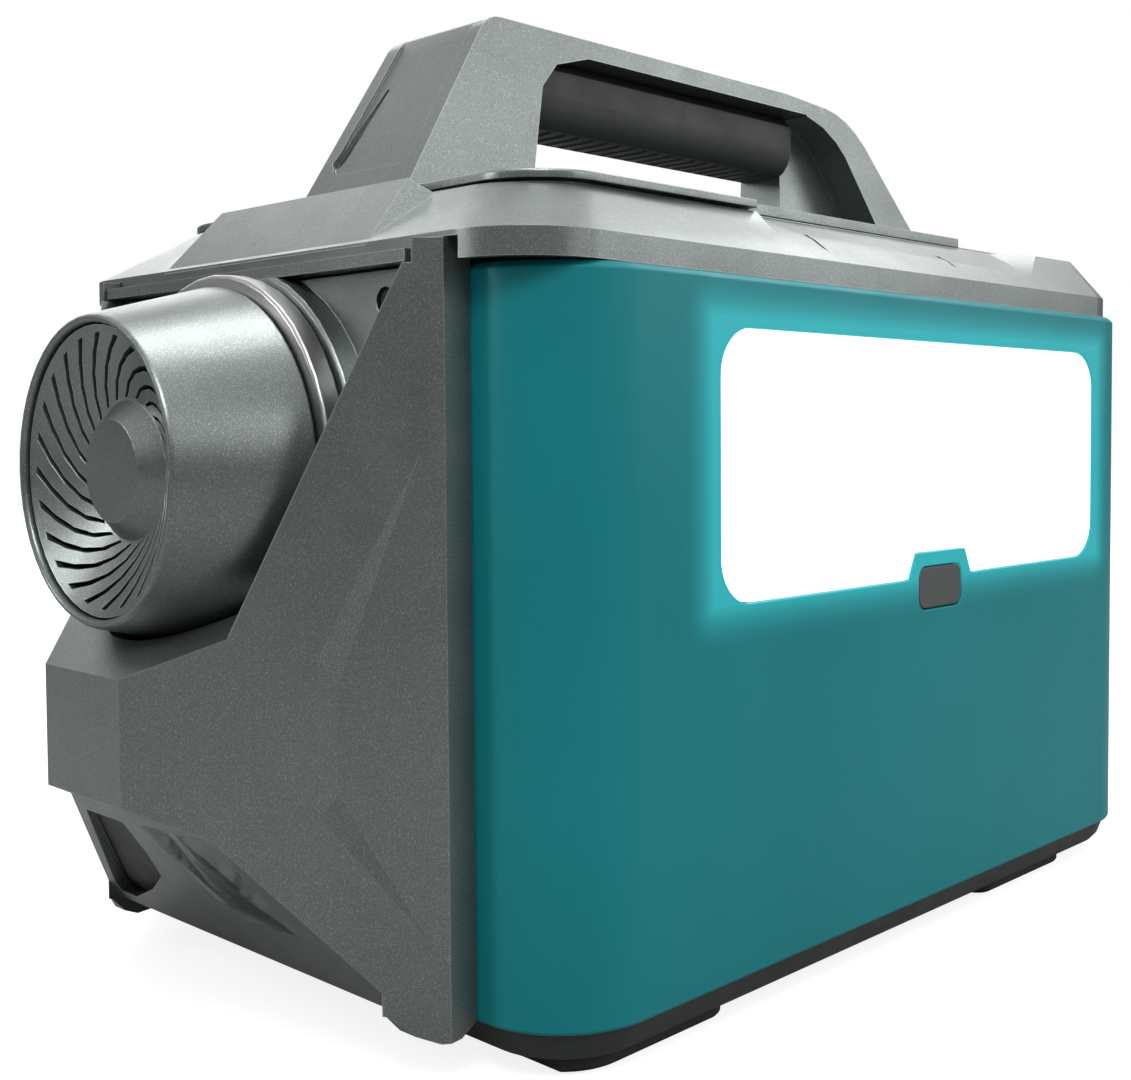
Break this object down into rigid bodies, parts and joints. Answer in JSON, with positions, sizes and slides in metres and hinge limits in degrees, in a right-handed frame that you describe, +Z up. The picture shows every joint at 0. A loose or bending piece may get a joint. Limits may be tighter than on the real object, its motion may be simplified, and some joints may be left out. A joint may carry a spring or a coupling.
{
  "type": "portable power station",
  "caption": "Rounded battery case with an arched carrying handle, a light panel on the front, a fan horn on the left end and a socket panel on the back.",
  "frame": {"origin": "centre of the bounding box in X and Y, at the underside of the feet", "axes": "+X along the case from the fan horn towards the charging inlet, +Y from the light panel towards the socket panel, +Z up"},
  "size_m": [0.436, 0.262, 0.334],
  "materials": {
    "teal": "satin teal paint on moulded plastic",
    "silver": "silver-grey metallic paint with a fine sparkle",
    "charcoal": "fine-grained dark grey",
    "rubber": "soft matte",
    "button": "smooth mid grey",
    "diffuser": "frosted white, glows when lit",
    "board": "green solder mask",
    "aluminium": "turned, satin",
    "steel": "plated",
    "glass": "dark tinted",
    "cells": "blue shrink wrap"
  },
  "bodies": {
    "case": {"front_cover": "teal", "rear_cover": "teal", "top_cover": "silver", "top_plate": "silver", "handle": "silver", "end_cap": "silver", "end_panel": "silver", "fan_horn": "silver", "horn_grille": "silver", "right_cap": "silver", "base_tray": "charcoal", "handle_grip": "charcoal", "fan_frame": "charcoal", "charge_inlet": "charcoal", "control_panel": "charcoal", "dc_port_1": "charcoal", "dc_port_2": "charcoal", "car_socket": "charcoal", "lamp_switch": "charcoal", "battery_cradle": "charcoal", "air_duct": "charcoal", "nose_liner": "charcoal", "foot_1": "rubber", "foot_2": "rubber", "foot_3": "rubber", "foot_4": "rubber", "ac_outlet_1": "button", "ac_outlet_2": "button", "lamp_diffuser": "diffuser", "led_board": "board", "display_module": "board", "control_board": "board", "battery_board": "board", "inverter_board": "board", "horn_collar": "aluminium", "led_reflector": "aluminium", "heat_sink": "aluminium", "end_screw_1": "steel", "end_screw_2": "steel", "end_screw_3": "steel", "end_screw_4": "steel", "handle_screw_1": "steel", "handle_screw_2": "steel", "usb_a_port_1": "steel", "usb_a_port_2": "steel", "usb_a_port_3": "steel", "usb_c_port_1": "steel", "usb_c_port_2": "steel", "display_window": "glass", "battery_pack": "cells", "transformer": "cells"},
    "fan_rotor_body": {"fan_rotor": "charcoal"},
    "lamp_button_body": {"lamp_button": "button"},
    "power_button_body": {"power_button": "button"},
    "ac_button_body": {"ac_button": "button"},
    "usb_button_body": {"usb_button": "button"},
    "dc_button_body": {"dc_button": "button"},
    "car_socket_cap_body": {"car_socket_cap": "rubber"},
    "inlet_flap_body": {"inlet_flap": "rubber"}
  },
  "joints": [
    {"name": "fan_spin", "type": "hinge", "parent": "case", "child": "fan_rotor_body", "pos_m": [-0.187, 0, 0.177], "axis": [1, 0, 0], "continuous": true},
    {"name": "lamp_button_press", "type": "slide", "parent": "case", "child": "lamp_button_body", "axis": [0, 1, 0], "range_m": [0, 0.0015], "stiffness_N_per_m": 900},
    {"name": "power_button_press", "type": "slide", "parent": "case", "child": "power_button_body", "axis": [0, -1, 0], "range_m": [0, 0.0015], "stiffness_N_per_m": 900},
    {"name": "ac_button_press", "type": "slide", "parent": "case", "child": "ac_button_body", "axis": [0, -1, 0], "range_m": [0, 0.0015], "stiffness_N_per_m": 900},
    {"name": "usb_button_press", "type": "slide", "parent": "case", "child": "usb_button_body", "axis": [0, -1, 0], "range_m": [0, 0.0015], "stiffness_N_per_m": 900},
    {"name": "dc_button_press", "type": "slide", "parent": "case", "child": "dc_button_body", "axis": [0, -1, 0], "range_m": [0, 0.0015], "stiffness_N_per_m": 900},
    {"name": "car_socket_cap_hinge", "type": "hinge", "parent": "case", "child": "car_socket_cap_body", "pos_m": [0.133, 0.1289, 0.125], "axis": [1, 0, 0], "range_deg": [0, 120]},
    {"name": "inlet_flap_hinge", "type": "hinge", "parent": "case", "child": "inlet_flap_body", "pos_m": [0.2175, 0, 0.0875], "axis": [0, -1, 0], "range_deg": [0, 110]}
  ]
}
